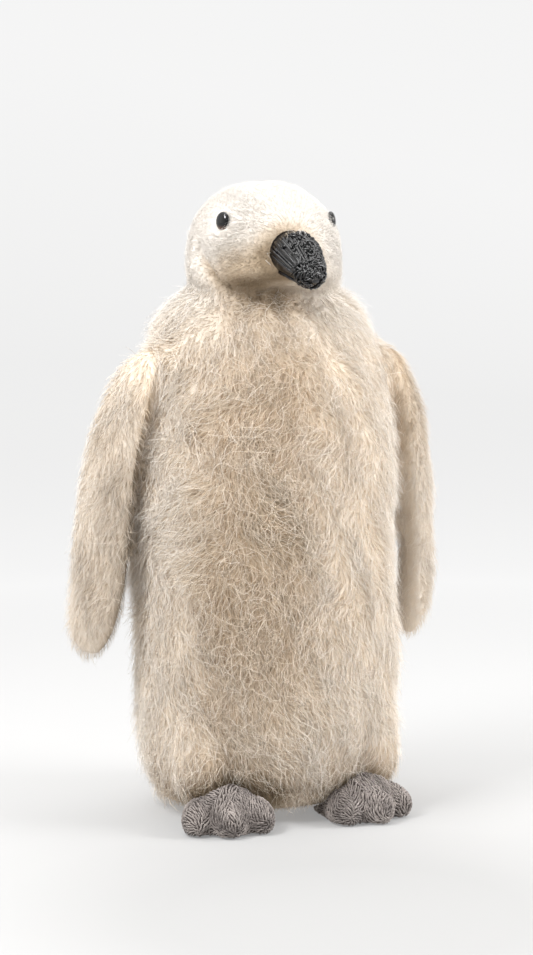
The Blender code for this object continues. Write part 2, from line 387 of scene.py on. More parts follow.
# The shoulders: the neck's slope runs on into each wing with hardly a notch between them
seam = 4 * spread(on_wing, 6) * spread(1 - on_wing, 6) * np.clip((height - 0.195) / 0.012, 0, 1)
eased = np.stack([spread(points[:, axis], 40) for axis in range(3)], axis=1)
points += seam[:, None] * (0.85 * (eased - points) + 0.0020 * normals)
write_points(skin.data, points)
rework(skin, ease(2))
skin.data.shade_smooth()


def unwrap():
    """Lays the selected piece's surface out flat as its map."""
    bpy.ops.object.mode_set(mode="EDIT")
    bpy.ops.mesh.select_all(action="SELECT")
    bpy.ops.uv.smart_project(angle_limit=radians(66), island_margin=0.004)
    bpy.ops.object.mode_set(mode="OBJECT")


def new_group(name, *sockets):
    """A node group that several materials share, with its inputs and outputs."""
    made = bpy.data.node_groups.new(name, "ShaderNodeTree")
    for label, way, kind in sockets:
        made.interface.new_socket(label, in_out=way, socket_type=kind)
    return made


unwrap()

# Grain, which every woven or spun material of the toy has: a fine mottle and its relief
grain = new_group(
    "grain",
    ("Scale", "INPUT", "NodeSocketFloat"),
    ("Relief", "INPUT", "NodeSocketFloat"),
    ("Mottle", "OUTPUT", "NodeSocketFloat"),
    ("Normal", "OUTPUT", "NodeSocketVector"),
)
given = add_node(grain, "NodeGroupInput")
spot = add_node(grain, "ShaderNodeTexCoord")["Object"]
mottle = add_node(grain, "ShaderNodeTexNoise", {"Vector": spot, "Scale": given["Scale"], "Detail": 4})["Fac"]
bump = {"Height": mottle, "Distance": given["Relief"], "Strength": 0.6}
relief = add_node(grain, "ShaderNodeBump", bump)["Normal"]
add_node(grain, "NodeGroupOutput", {"Mottle": mottle, "Normal": relief})

# The colour of the pile and of the cloth that it is woven into. Its markings and painted shade run from
# brown, which is the painted shade of the deep folds, over tan and oatmeal to cream, each hair is paler
# towards its tip, and the head is bleached whiter.
pile_colour = new_group(
    "pile_colour",
    ("Run", "INPUT", "NodeSocketFloat"),
    ("Shade", "INPUT", "NodeSocketFloat"),
    ("Color", "OUTPUT", "NodeSocketColor"),
)
given = add_node(pile_colour, "NodeGroupInput")
brown_to_cream = (0, 0.3, 0.62, 1)
root_tones = (0.20, 0.142, 0.088), (0.56, 0.412, 0.272), (0.78, 0.64, 0.475), (0.91, 0.80, 0.665)
tip_tones = (0.37, 0.292, 0.20), (0.715, 0.62, 0.50), (0.85, 0.78, 0.70), (0.95, 0.915, 0.87)
spot = add_node(pile_colour, "ShaderNodeTexCoord")["Object"]
place = add_node(pile_colour, "ShaderNodeSeparateXYZ", {"Vector": spot})
near_crown = rescale(pile_colour, place["Z"], 0.215, 0.264)
not_dark = rescale(pile_colour, given["Shade"], 0.10, 0.50)
bleached = add_math(pile_colour, "MULTIPLY", near_crown, not_dark)
from_middle = add_math(pile_colour, "ABSOLUTE", place["X"])
faded = rescale(pile_colour, from_middle, 0.065, 0.073, 0.0, 0.5)  # the wings are faded half as much
pale_parts = add_math(pile_colour, "MAXIMUM", faded, bleached)
paler = add_math(pile_colour, "MULTIPLY_ADD", bleached, 0.45, given["Run"], use_clamp=True)
colours = {
    "Factor": paler,
    "A": add_ramp(pile_colour, given["Shade"], *zip(brown_to_cream, root_tones)),
    "B": add_ramp(pile_colour, given["Shade"], *zip(brown_to_cream, tip_tones)),
}
blend = add_node(pile_colour, "ShaderNodeMix", colours, data_type="RGBA")["Result"]
bleach = {
    "Color": blend,
    "Saturation": rescale(pile_colour, pale_parts, 0.0, 1.0, 1.0, 0.62),
    "Value": rescale(pile_colour, pale_parts, 0.0, 1.0, 1.0, 0.88),
}
pile_shown = add_node(pile_colour, "ShaderNodeHueSaturation", bleach)["Color"]
add_node(pile_colour, "NodeGroupOutput", {"Color": pile_shown})

backing_cloth, tree, shader = new_material("backing_cloth")
weave = add_node(tree, "ShaderNodeGroup", {"Scale": 220, "Relief": 0.0006}, node_tree=grain)
shade = add_node(tree, "ShaderNodeAttribute", attribute_name="shade")["Fac"]
stained = {"Run": weave["Mottle"], "Shade": shade}
feed(tree, shader, {
    "Base Color": add_node(tree, "ShaderNodeGroup", stained, node_tree=pile_colour)["Color"],
    "Roughness": 0.95,
    "Specular IOR Level": 0.15,
    "Normal": weave["Normal"],
})
skin.data.materials.clear()
skin.data.materials.append(backing_cloth)
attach(skin, "root")
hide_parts(*parts)


# The lie of the pile: how each spot of the cloth was brushed. It falls from crown to seat in loose swirls,
# parts round the bill and the eyes, and runs out sideways beside the wings.
points = read_points(skin.data)
normals = read_normals(skin.data)
bill_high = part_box("bill")[1]
bill_root = np.array((0, bill_high.y - 0.001, bill_high.z - 0.0115))
away = unit(points - bill_root)
outwards = np.zeros_like(points)
outwards[:, 0] = np.sign(points[:, 0])
lie = np.tile((0.0, 0.0, -1.0), (len(points), 1))
lie += on_head[:, None] * (1.3 * away + np.array((0, 0.45, 0.25)))
side_band = np.clip((np.abs(points[:, 0]) - 0.028) / 0.018, 0, 1) * (on_trunk + 0.5 * on_neck)
side_band *= np.clip((points[:, 2] - 0.085) / 0.035, 0, 1)
lie += outwards * (0.9 * side_band * (points[:, 0] < 0) + 0.25 * side_band)[:, None]
lie -= normals * np.sum(lie * normals, axis=1, keepdims=True)
lie = np.stack([spread(lie[:, axis], 3) for axis in range(3)], axis=1)
lie = unit(lie - normals * np.sum(lie * normals, axis=1, keepdims=True))
swirl = 0.42 * waves(points, 0.030, 11) + 0.32 * waves(points, 0.010, 12)
swirl *= 1 - 0.3 * on_head - 0.45 * on_wing
across = np.cross(normals, lie)
lie = lie * np.cos(swirl)[:, None] + across * np.sin(swirl)[:, None]

# Length of the pile at each spot and how thick the coat stands there. It is clipped short on the face,
# round the eyes, over the feet and on the inner faces of the wings.
length = spread(0.0140 * on_trunk + 0.0125 * on_neck + 0.0070 * on_head + 0.0105 * on_wing, 5)
stand = spread(depth_there, 5)
inner_face = on_wing * np.clip(-normals[:, 0] * np.sign(points[:, 0]) * 1.6 + 0.5, 0, 1)
from_feet = np.minimum(distance_to("foot_left", points), distance_to("foot_right", points))
bill_gap = distance_to("bill", points)
eye_gap = distance_to_eyes(points)
lip = on_head * front * hump(points[:, 2], chin_line + 0.003, 0.006)
crease_bank = hump(around, crease_line - 1, 8) * hump(height, 0.2590, 0.0100)
trim = 1 - 0.35 * inner_face
trim *= 0.50 + 0.50 * np.clip((from_feet - 0.002) / 0.012, 0, 1)
trim *= 0.50 + 0.50 * np.clip((bill_gap - 0.001) / 0.014, 0, 1)
trim *= 0.45 + 0.55 * np.clip((eye_gap - 0.004) / 0.008, 0, 1)
seam_at = np.interp(points[:, 2], [0.085, 0.130, 0.175, 0.205], [0.0775, 0.0720, 0.0652, 0.0583])
seam_line = is_part["wing_left"] * hump(points[:, 0], seam_at, 0.0018) * (points[:, 1] < -0.006)
trim *= (1 - 0.4 * seam_line) * (1 - 0.75 * seat) * (1 - 0.45 * lip) * (1 - 0.5 * throat)
trim *= 1 - 0.7 * crease_bank * (1 - on_wing)
length *= trim * (1 + 0.12 * waves(points, 0.016, 13))
stand *= (0.25 + 0.75 * trim) * (1 - 0.25 * on_head) * (1 + 0.16 * waves(points, 0.013, 14))
shut = (bill_gap < 0.0004) | (eye_gap < 0.0041)  # no hairs under the bill and the beads
wing_end = on_wing * np.clip((0.108 - points[:, 2]) / 0.022, 0, 1)
hug = 0.88 - 0.75 * wing_end
lie = unit(lie + wing_end[:, None] * np.array((0, 0, -1.5)))
length *= 1 - 0.42 * wing_end
ripple = np.sin(points[:, 2] * 2 * pi / 0.017 + 2.5 * waves(points, 0.03, 15))
bunch = side_band * (points[:, 0] < 0) * (0.5 + 0.5 * ripple)
stand *= 1 + 0.5 * bunch


# The pile itself: mohair woven into the cloth, tan at the root and cream at the tip. A dense shorter layer
# covers the cloth, a finer paler one lies over it in waves, and single wisps stand out.
mohair, tree, shader = new_material("mohair")
spun = {
    "Run": add_node(tree, "ShaderNodeAttribute", attribute_name="run")["Fac"],
    "Shade": add_node(tree, "ShaderNodeAttribute", attribute_name="shade")["Fac"],
}
feed(tree, shader, {
    "Base Color": add_node(tree, "ShaderNodeGroup", spun, node_tree=pile_colour)["Color"],
    "Roughness": 0.6,
    "Specular IOR Level": 0.12,
})


def read_cloth(piece):
    """What growing on a mesh needs: its points, its faces with their areas, its map and a finder."""
    mesh = piece.data
    corners = np.empty(len(mesh.loops), np.int32)
    mesh.loops.foreach_get("vertex_index", corners)
    spots = np.empty(len(corners) * 2, np.float32)
    mesh.uv_layers.active.data.foreach_get("uv", spots)
    mesh.calc_loop_triangles()
    loops = np.empty(len(mesh.loop_triangles) * 3, np.int32)
    mesh.loop_triangles.foreach_get("loops", loops)
    loops = loops.reshape(-1, 3)
    where = read_points(mesh)
    a, b, c = where[corners[loops]].transpose(1, 0, 2)
    finder = KDTree(len(where))
    for index, point in enumerate(where):
        finder.insert(point, index)
    finder.balance()
    return dict(
        points=where,
        normals=read_normals(mesh),
        faces=corners[loops],
        map=spots.reshape(-1, 2)[loops],
        area=np.linalg.norm(np.cross(b - a, c - a), axis=1) / 2,
        finder=finder,
    )


def plant(cloth, per_mm2, thickness, draw):
    """Roots spread evenly over a cloth: a face and three corner weights for each."""
    running = np.cumsum(cloth["area"] * 1e6 * per_mm2 * thickness[cloth["faces"]].mean(axis=1))
    count = int(running[-1])
    picks = (np.arange(count) + draw.random(count)) / count * running[-1]
    face = np.searchsorted(running, picks).clip(0, len(running) - 1)
    first, second = draw.random(count), draw.random(count)
    flip = first + second > 1
    first[flip], second[flip] = 1 - first[flip], 1 - second[flip]
    return face, np.stack((1 - first - second, first, second), axis=1)


def at_roots(cloth, values, face, weights):
    """A value of the cloth's vertices, read at each root."""
    return np.einsum("ij,ij...->i...", weights, values[cloth["faces"][face]])


def settle_on(cloth, where, hug):
    """Draws points towards the cloth's surface and tells which of its vertices is nearest to each."""
    near = np.array([cloth["finder"].find(point)[1] for point in where])
    up = cloth["normals"][near]
    off = np.sum((where - cloth["points"][near]) * up, axis=1)
    return where - up * (off * hug)[:, None], near


def nearest_of(roots, chosen):
    """For each root, which of the chosen ones lies nearest."""
    tree = KDTree(len(chosen))
    for index, one in enumerate(chosen):
        tree.insert(roots[one], index)
    tree.balance()
    return np.array([tree.find(point)[1] for point in roots])


root_sink = 0.0004  # how deep the hairs' roots sit in the cloth
floor_gap = 0.0004  # how far the hairs stay above the floor


def grow(cloth, face, weights, style, draw):
    """Walks each hair over the cloth along the lie, rising from it: rings x hairs x 3, root to tip."""
    root = at_roots(cloth, cloth["points"], face, weights)
    up = unit(at_roots(cloth, cloth["normals"], face, weights))
    root_up = up
    along = unit(at_roots(cloth, cloth["lie"], face, weights))
    reach = at_roots(cloth, cloth["length"], face, weights) * style["length"]
    reach = reach * draw.uniform(0.6, 1.2, len(root))
    rise = at_roots(cloth, cloth["stand"], face, weights) * draw.uniform(*style["rise"], len(root))
    hug = at_roots(cloth, cloth["hug"], face, weights)

    # Hairs lean together in locks: neighbours share most of a lock's turn and draw in towards it
    chosen = draw.choice(len(root), max(1, int(len(root) * style["locks"])), replace=False)
    lock = nearest_of(root, chosen)
    wild = at_roots(cloth, cloth["wild"], face, weights)
    felt = at_roots(cloth, cloth["matted"], face, weights)
    turn = draw.normal(0, style["stray"], len(chosen))[lock] * (1 - felt)
    turn = wild * (turn + draw.normal(0, style["own"], len(root)) * (1 + 1.8 * felt))
    gather = (root[chosen][lock] - root) * (style["gather"] * (1 - felt))[:, None]
    curl = draw.uniform(0.3, 1.0, len(root)) * style["curl"] * wild
    phase = draw.uniform(0, 2 * pi, len(root))
    segments = style["segments"]
    base, line = root, [root - up * root_sink]
    for step in range(1, segments + 1):
        angle = turn + curl * np.sin(phase + 2 * pi * style["waves"] * step / segments)
        side = np.cross(up, along)
        heading = along * np.cos(angle)[:, None] + side * np.sin(angle)[:, None]
        base, near = settle_on(cloth, base + heading * (reach / segments)[:, None], hug)
        up = unit(up + 1.5 * hug[:, None] * cloth["normals"][near])
        along = unit(0.4 * along + 0.6 * cloth["lie"][near])
        along = unit(along - up * np.sum(along * up, axis=1, keepdims=True))
        share = step / segments
        tip = base + up * (rise * share ** style["arch"])[:, None] + gather * share**1.4
        tip[:, 2] = np.maximum(tip[:, 2], floor_gap)
        line.append(tip)
    return np.stack(line), root_up


patch_size = 0.003  # width of each strand's patch of the map, whose own width is 1


def spun_mesh(name, line, up, radii, shade, root_map, sides=3, flat=0.7):
    """Joins many tapered strands into one closed-walled mesh, with a patch of the map for each.

    line is rings x strands x 3 and the last ring is the tips; radii is (rings - 1) x strands.
    """
    rings, count = len(line) - 1, line.shape[1]
    per_strand = sides * rings + 1
    shell = np.empty((count, per_strand, 3), np.float32)
    run = np.empty((count, per_strand), np.float32)
    patch = np.empty((count, per_strand, 2), np.float32)
    for ring in range(rings):
        heading = unit(line[ring + 1] - line[max(ring - 1, 0)])
        side = unit(np.cross(heading, up))
        top = np.cross(side, heading)
        for corner in range(sides):
            angle = 2 * pi * corner / sides + pi / 2
            offset = side * (cos(angle) * radii[ring])[:, None]
            offset += top * (sin(angle) * radii[ring] * flat)[:, None]
            shell[:, sides * ring + corner] = line[ring] + offset
            patch[:, sides * ring + corner] = (corner / (sides - 1) - 0.5, ring / rings - 0.5)
        run[:, sides * ring : sides * (ring + 1)] = ring / rings
    shell[:, -1] = line[-1]
    run[:, -1] = 1
    patch[:, -1] = (0, 0.5)
    faces = [(0, corner + 1, corner) for corner in range(1, sides - 1)]
    for ring in range(rings - 1):
        for corner in range(sides):
            here, there = sides * ring + corner, sides * ring + (corner + 1) % sides
            faces += [(here, there, there + sides), (here, there + sides, here + sides)]
    last = sides * (rings - 1)
    faces += [(last + corner, last + (corner + 1) % sides, per_strand - 1) for corner in range(sides)]
    index = (np.array(faces)[None] + (np.arange(count) * per_strand)[:, None, None]).reshape(-1)
    mesh = bpy.data.meshes.new(name)
    mesh.vertices.add(count * per_strand)
    mesh.vertices.foreach_set("co", shell.ravel())
    mesh.loops.add(len(index))
    mesh.loops.foreach_set("vertex_index", index.astype(np.int32))
    mesh.polygons.add(len(index) // 3)
    mesh.polygons.foreach_set("loop_start", np.arange(0, len(index), 3, dtype=np.int32))
    mesh.update(calc_edges=True)
    mesh.shade_smooth()
    for label, values in (("run", run.ravel()), ("shade", np.repeat(shade, per_strand))):
        mesh.attributes.new(label, "FLOAT", "POINT").data.foreach_set("value", values.astype(np.float32))
    spots = (root_map[:, None, :] + patch * patch_size).reshape(-1, 2)[index]
    mesh.uv_layers.new(name="OFBake").data.foreach_set("uv", spots.astype(np.float32).ravel())
    made = bpy.data.objects.new(name, mesh)
    bpy.context.scene.collection.objects.link(made)
    return made


# The hairs cross most on the chick's front and lie straightest on the wings
band_line = np.interp(points[:, 2], [0.05, 0.10, 0.185, 0.225], [-0.031, -0.023, -0.022, -0.007])
band_gap = np.abs(points[:, 0] - band_line) - np.interp(points[:, 2], [0.185, 0.225], [0.011, 0.001])
middle_band = (on_trunk + on_neck) * hump(band_gap.clip(0, 1), 0, 0.018) * (points[:, 1] < 0)
middle_band *= np.clip(0.45 + 6 * points[:, 2], 0, 1.05)
wild = spread(0.8 + 0.28 * middle_band - 0.1 * on_wing, 4)
matted = spread(on_head, 4)  # 1 where the hairs form no locks but lie every way, like felt
backing = read_cloth(skin)
backing.update(lie=lie, length=length, stand=stand, hug=hug, wild=wild, matted=matted)

# Each layer's hairs: how densely they stand, more or less so on head and wings; their length as a share of
# the pile's, how high they rise and how early, and their radius; how many locks they form, how much they
# draw in, stray by locks and on their own, and curl in waves; how much paler they are, and how mixed
styles = [
    dict(name="under", per_mm2=0.32, head=2.9, wing=1.0, length=0.80, rise=(0.35, 0.85), arch=0.75,
         width=0.00026, locks=0.25, gather=0.20, stray=0.18, own=0.16, curl=0.30, waves=0.4, pale=-0.09,
         mixed=0.025, segments=2),
    dict(name="over", per_mm2=0.27, head=2.7, wing=1.0, length=1.05, rise=(0.7, 1.2), arch=0.6,
         width=0.00011, locks=0.18, gather=0.28, stray=0.38, own=0.50, curl=0.95, waves=0.7, pale=0.12,
         mixed=0.12, segments=4),
    dict(name="wisp", per_mm2=0.063, head=0.5, wing=0.7, length=1.25, rise=(1.0, 1.7), arch=0.7,
         width=0.00011, locks=0.9, gather=0.1, stray=0.70, own=0.50, curl=1.1, waves=0.9, pale=0.38,
         mixed=0.07, segments=5),
]
regions = {
    "head": on_head,
    "neck": on_neck,
    "trunk": on_trunk,
    "wing_left": is_part["wing_left"],
    "wing_right": is_part["wing_right"],
}
most_triangles = 195_000  # of one piece
full_length = 0.012  # shorter hairs are thinner too

# The markings with painted light and shade, brown at 0 and cream at 1: darker round the bill; painted shade
# in the folds, along the middle and the hem, beside the wing and on its inner face; paler at the sides,
# partly painted light
smudge = on_head * hump(bill_gap, 0.001, 0.0075) * (points[:, 2] < 0.288)
cheek_spot = np.linalg.norm(points - np.array((-0.0180, -0.0300, 0.2585)), axis=1)
lower_face = on_head * np.clip((0.272 - points[:, 2]) / 0.016, 0, 1)
hem = on_trunk * hump(points[:, 2], 0.012, 0.016)
wing_gap = on_trunk * np.clip((np.abs(points[:, 0]) - 0.058) / 0.006, 0, 1)
wing_gap *= hump(points[:, 2], 0.145, 0.050)
above_feet = on_trunk * hump(from_feet, 0.0, 0.011) * (points[:, 1] < 0)
inner_turn = np.clip(0.45 + 0.75 * normals[:, 0], 0, 1)
front_edge = np.clip((0.008 - points[:, 1]) / 0.022, 0, 1)
# Painted shade on the chick's right wing, on its front edge and its inner face, weaker towards the shoulder,
# over a slightly darker tone
right_wing_shade = (0.16 * front_edge + 0.36 * inner_turn) * np.clip((0.215 - points[:, 2]) / 0.03, 0.15, 1)
right_wing_shade = is_part["wing_right"] * (0.04 + right_wing_shade)
markings_and_painted_light = 0.695 + 0.04 * waves(points, 0.018, 21) + 0.10 * bunch - right_wing_shade
# Darker round the bill and in a spot on the cheek, and painted shade on the lower face
markings_and_painted_light -= 0.48 * smudge + 0.64 * hump(cheek_spot, 0, 0.0115) + 0.10 * lower_face
# Painted shade along the middle of the front, at the hem and just over the feet
markings_and_painted_light -= 0.32 * middle_band + 0.20 * hem + 0.40 * above_feet
# Painted shadow under the chin, and painted shade in the cheek's crease and on the neck's right side below
# the head
markings_and_painted_light -= 0.29 * hump(around, -7, 26) * hump(points[:, 2], 0.248, 0.008) + 0.65 * on_head * crease
markings_and_painted_light -= 0.14 * hump(around, -55, 25) * hump(points[:, 2], 0.236, 0.010)
# Painted shade on the trunk in the gap beside the chick's right wing, and a little painted light beside the
# left one
markings_and_painted_light -= wing_gap * np.where(points[:, 0] < 0, 0.45, -0.05)
# Paler at both sides of the trunk, partly the pile's own colour and partly painted light, and painted light
# low on the trunk
markings_and_painted_light += 0.08 * on_trunk * np.clip(points[:, 0] / 0.035, 0, 1)
markings_and_painted_light += 0.24 * on_trunk * np.clip((-0.042 - points[:, 0]) / 0.010, 0, 1)
markings_and_painted_light += 0.07 * on_trunk * hump(points[:, 2], 0.045, 0.025)
# On the chick's left wing: darker, most at the shoulder, with painted light on the inner face, which lies in
# shade beside the trunk, and a darker seam
shoulder = np.clip((points[:, 2] - 0.155) / 0.025, 0, 1)
markings_and_painted_light -= is_part["wing_left"] * (0.12 - 0.14 * inner_face + 0.20 * shoulder) + 0.15 * seam_line
markings_and_painted_light = spread(markings_and_painted_light, 2)

# Deep in the pile the cloth is painted darker than the hairs, as painted shade in the gaps between them
painted_gap_shade = (markings_and_painted_light - 0.07).clip(0, 1).astype(np.float32)
skin.data.attributes.new("shade", "FLOAT", "POINT").data.foreach_set("value", painted_gap_shade)
for number, style in enumerate(styles):
    draw = np.random.default_rng(100 + number)
    thickness = on_trunk + on_neck + style["head"] * on_head + style["wing"] * on_wing
    face, weights = plant(backing, style["per_mm2"], thickness * ~shut * (1 - 0.7 * seat), draw)
    line, up = grow(backing, face, weights, style, draw)
    short = at_roots(backing, length, face, weights) / full_length
    width = style["width"] * draw.uniform(0.75, 1.25, len(face)) * short.clip(0.45, 1.0)
    segments = style["segments"]
    radii = np.stack([width * (1 - 0.7 * (ring / segments) ** 1.5) for ring in range(segments)])
    calm = 1 - 0.8 * at_roots(backing, on_head, face, weights)
    shade_of = at_roots(backing, markings_and_painted_light, face, weights)
    shade_of = (shade_of + calm * draw.normal(style["pale"], style["mixed"], len(face))).clip(0, 1)
    root_map = np.einsum("ij,ijk->ik", weights, backing["map"][face])
    shares = [at_roots(backing, part, face, weights) for part in regions.values()]
    region_of = np.argmax(shares, axis=0)
    for index, name in enumerate(regions):
        chosen = np.flatnonzero(region_of == index)
        bearing = np.arctan2(line[0][chosen, 0], -line[0][chosen, 1])
        chosen = chosen[np.argsort(bearing, kind="stable")]
        share_count = -(-len(chosen) * (6 * segments - 2) // most_triangles)
        for share, batch in enumerate(np.array_split(chosen, share_count)):
            label = f"pile_{style['name']}_{name}_{share + 1}"
            rings = line[:, batch], up[batch], radii[:, batch]
            tuft = spun_mesh(label, *rings, shade_of[batch], root_map[batch])
            tuft.data.materials.append(mohair)
            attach(tuft, "root")


# The eyes: black glass beads sewn into the pile, flattened and turned outwards, with a dark brown rim at
# the lower edge.
bead_radius, bead_squash = 0.0044, 0.48
bead_sunk, bead_raised = 0.0009, 0.0014
bead_glass, tree, shader = new_material("bead_glass")
spot = add_node(tree, "ShaderNodeTexCoord")["Object"]
up_bead = add_node(tree, "ShaderNodeSeparateXYZ", {"Vector": spot})["Z"]
eye_height = eye_middle["left"].z
up_bead = rescale(tree, up_bead, eye_height - 0.003, eye_height + 0.003)
feed(tree, shader, {
    "Base Color": add_ramp(tree, up_bead, (0, (0.10, 0.045, 0.025)), (0.42, (0.003, 0.003, 0.003))),
    "Roughness": 0.06,
    "Specular IOR Level": 0.35,
    "Coat Weight": 0.25,
    "Coat Roughness": 0.03,
})
for side, sign in (("left", 1), ("right", -1)):
    gaze = Vector((sign * 0.95, -0.30, 0.10)).normalized()
    bpy.ops.object.select_all(action="DESELECT")
    bpy.ops.mesh.primitive_uv_sphere_add(
        segments=32,
        ring_count=16,
        radius=bead_radius,
        location=eye_middle[side] - bead_sunk * gaze + Vector((0, 0, bead_raised)),
        rotation=gaze.to_track_quat("Z", "Y").to_euler(),
    )
    bead = bpy.context.object
    bead.scale = (1.0, 1.0, bead_squash)
    bpy.ops.object.transform_apply(location=True, rotation=True, scale=True)
    bead.name = f"bead_{side}"
    bead.data.shade_smooth()
    bead.data.materials.append(bead_glass)
    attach(bead, "root")
    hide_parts(f"eye_{side}")


# The bill: a stuffed core covered with waxed black thread, laid lengthwise from the base to the tip in
# ridges, knotted on the top of the bill and wound round the tip.
core_grid = 0.0009  # size of the core's faces
bill_core = cut_from("bill", "bill_core")
rework(bill_core, weld, net(core_grid), ease(6))
bill_core.data.shade_smooth()
points = read_points(bill_core.data)

# The core droops and grows thinner towards the tip, with a hump over its middle
ahead = (points[:, 1].max() - points[:, 1]) / np.ptp(points[:, 1])
tip_share = np.clip((ahead - 0.45) / 0.55, 0, 1) ** 1.5
drop_line = bill_high.z - 0.0095 - 0.0155 * ahead**1.25
points[:, 0] *= 1 - 0.18 * tip_share + 0.07 * hump(ahead, 0.32, 0.22)
over_line = (points[:, 2] > drop_line) * hump(ahead, 0.28, 0.28)
points[:, 2] = drop_line + (points[:, 2] - drop_line) * (1 - 0.16 * tip_share + 0.14 * over_line)
points[:, 1] += 0.006 * (1 - ahead) ** 4 - 0.0056 * ahead
write_points(bill_core.data, points)

# A line through the core, bent down towards the tip, that the threads are laid round
bill_base = Vector((0, -0.0269, 0.2705))
bill_reach, bill_dip, bill_hook = 0.0455, radians(9), radians(35)
bill_steps = 40
bill_axis = [bill_base]
for step in range(bill_steps):
    dip = bill_dip + (bill_hook - bill_dip) * (step + 0.5) / bill_steps
    bill_axis.append(bill_axis[-1] + Vector((0, -cos(dip), -sin(dip))) * bill_reach / bill_steps)
bill_surface = surface_of(bill_core.data)
cap_from, cap_span = 0.80, 0.40  # where the rounded tip begins, and how much further it goes
core_radius = 0.010  # where no core is met


def on_bill(share, angle, lift):
    """A point over the bill's core: share of the way to the tip, angle round it from the chick's left."""
    at = min(share, cap_from) * bill_steps
    low = int(at)
    middle = bill_axis[low].lerp(bill_axis[low + 1], at - low)
    heading = (bill_axis[low + 1] - bill_axis[low]).normalized()
    right = Vector((1, 0, 0))
    outward = right * cos(angle) + right.cross(heading).normalized() * -sin(angle)
    nod = radians(90) * max(0.0, share - cap_from) / cap_span
    outward = outward * cos(nod) + heading * sin(nod)
    hit = bill_surface.ray_cast(middle, outward)[0]
    if hit is None:
        hit = middle + outward * core_radius
    return hit + outward * lift, outward


def laid_threads(name, paths, ups, thread, taper, draw, sides=5):
    """Makes threads of one mesh from their paths: strands x rings x 3."""
    line = np.array(paths).transpose(1, 0, 2)
    rings = len(line) - 1
    thick = thread * draw.uniform(0.8, 1.2, line.shape[1])
    radii = np.stack([thick * np.interp(ring / rings, [0, 0.1, 0.7, 1], taper) for ring in range(rings)])
    roots = line[0][:, [0, 2]] * 8 % 1
    return spun_mesh(name, line, np.array(ups), radii, draw.random(line.shape[1]), roots, sides, 0.9)


def nick(share, angle):
    """How far the threads sink at the slit of the nostril and along the mouth, in metres."""
    turn = np.degrees(angle) % 360
    slit = np.exp(-(((share - 0.47) / 0.035) ** 2) - ((turn - 72) / 10) ** 2)
    mouth = np.exp(-(((turn - 208) / 8) ** 2)) + np.exp(-(((turn - 332) / 8) ** 2))
    return -0.0013 * slit - 0.0006 * mouth * (share < 1.0)


draw = np.random.default_rng(31)
ridge_thread, knot_thread, stray_hair = 0.00056, 0.00040, 0.00010  # radii
ridge_count, ridge_rings = 56, 18
knot_count, knot_rings, stray_count, stray_rings = 360, 4, 9, 6
paths, ups = [], []
for ridge in range(ridge_count):
    angle = 2 * pi * (ridge + draw.uniform(-0.2, 0.2)) / ridge_count
    start = draw.uniform(0.23, 0.29)
    end = 1.14 if ridge % 2 else draw.uniform(0.78, 0.95)
    drift, wobble, flare = draw.normal(0, 0.04), draw.uniform(0, 2 * pi), draw.uniform(0, 0.0010)
    proud = draw.uniform(-0.0004, 0.0006)
    path = []
    for ring in range(ridge_rings + 1):
        share = start + (end - start) * ring / ridge_rings
        sway = angle + drift * sin(3 * share + wobble)
        lift = proud + flare * (ring == 0) + nick(share, sway) + draw.normal(0, 0.00006)
        path.append(on_bill(share, sway, lift)[0])
    paths.append(path)
    ups.append(on_bill(0.5, angle, 0)[1])
ridges = laid_threads("bill_threads", paths, ups, ridge_thread, [0.8, 1.0, 0.8, 0.5], draw)

# Knots and crossing bits on the top and the chick's left of the bill, and turns of thread round its tip
knots_at, knots_spread = radians(62), 0.62
paths, ups = [], []
for bit in range(knot_count):
    at_tip = bit % 3 == 0
    share = draw.uniform(0.80, 1.16) if at_tip else draw.uniform(0.36, 0.95)
    angle = draw.uniform(0, 2 * pi) if at_tip else draw.normal(knots_at, knots_spread)
    slant = draw.normal(0, 0.45 if at_tip else 0.16)
    span = draw.uniform(0.02, 0.05)
    lifted = draw.uniform(0.0002, 0.0013) + nick(share, angle)
    path = []
    for ring in range(knot_rings + 1):
        step = (ring / knot_rings - 0.5) * 2
        lift = 0.00020 + lifted * (1 - step * step)
        path.append(on_bill(share + span * step, angle + slant * step, lift)[0])
    paths.append(path)
    ups.append(on_bill(share, angle, 0)[1])
knots = laid_threads("bill_knots", paths, ups, knot_thread, [0.6, 1.0, 1.0, 0.6], draw)

# Stray hairs of the pile that have fallen over the base of the bill
paths, ups = [], []
for _ in range(stray_count):
    angle = draw.uniform(radians(20), radians(190))
    start, slant, bow = draw.uniform(0.20, 0.26), draw.normal(0, 0.25), draw.uniform(0.0005, 0.0018)
    path = []
    for ring in range(stray_rings + 1):
        step = ring / stray_rings
        lift = 0.0010 + bow * sin(pi * step)
        path.append(on_bill(start + 0.22 * step, angle + slant * step + 0.06 * sin(7 * step), lift)[0])
    paths.append(path)
    ups.append(on_bill(start, angle, 0)[1])
strays = laid_threads("bill_strays", paths, ups, stray_hair, [1.0, 1.0, 0.8, 0.4], draw, 3)
strays.data.materials.append(mohair)
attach(strays, "root")

wax, tree, shader = new_material("waxed_thread")
spot = add_node(tree, "ShaderNodeTexCoord")["Object"]
along_bill = add_node(tree, "ShaderNodeSeparateXYZ", {"Vector": spot})["Y"]
fibres = add_node(tree, "ShaderNodeGroup", {"Scale": 900, "Relief": 0.0002}, node_tree=grain)
black = (0, (0.0015, 0.0015, 0.002)), (1, (0.004, 0.0036, 0.005))
wax_begins, wax_whole = -0.041, -0.051  # it is rubbed off at the base of the bill
feed(tree, shader, {
    "Base Color": add_ramp(tree, fibres["Mottle"], *black),
    "Roughness": rescale(tree, fibres["Mottle"], 0.0, 1.0, 0.02, 0.12),
    "Specular IOR Level": rescale(tree, along_bill, wax_begins, wax_whole, 0.0, 0.70),
    "Normal": fibres["Normal"],
})
for piece in (bill_core, ridges, knots):
    piece.data.materials.clear()
    piece.data.materials.append(wax)
    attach(piece, "root")
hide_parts("bill")


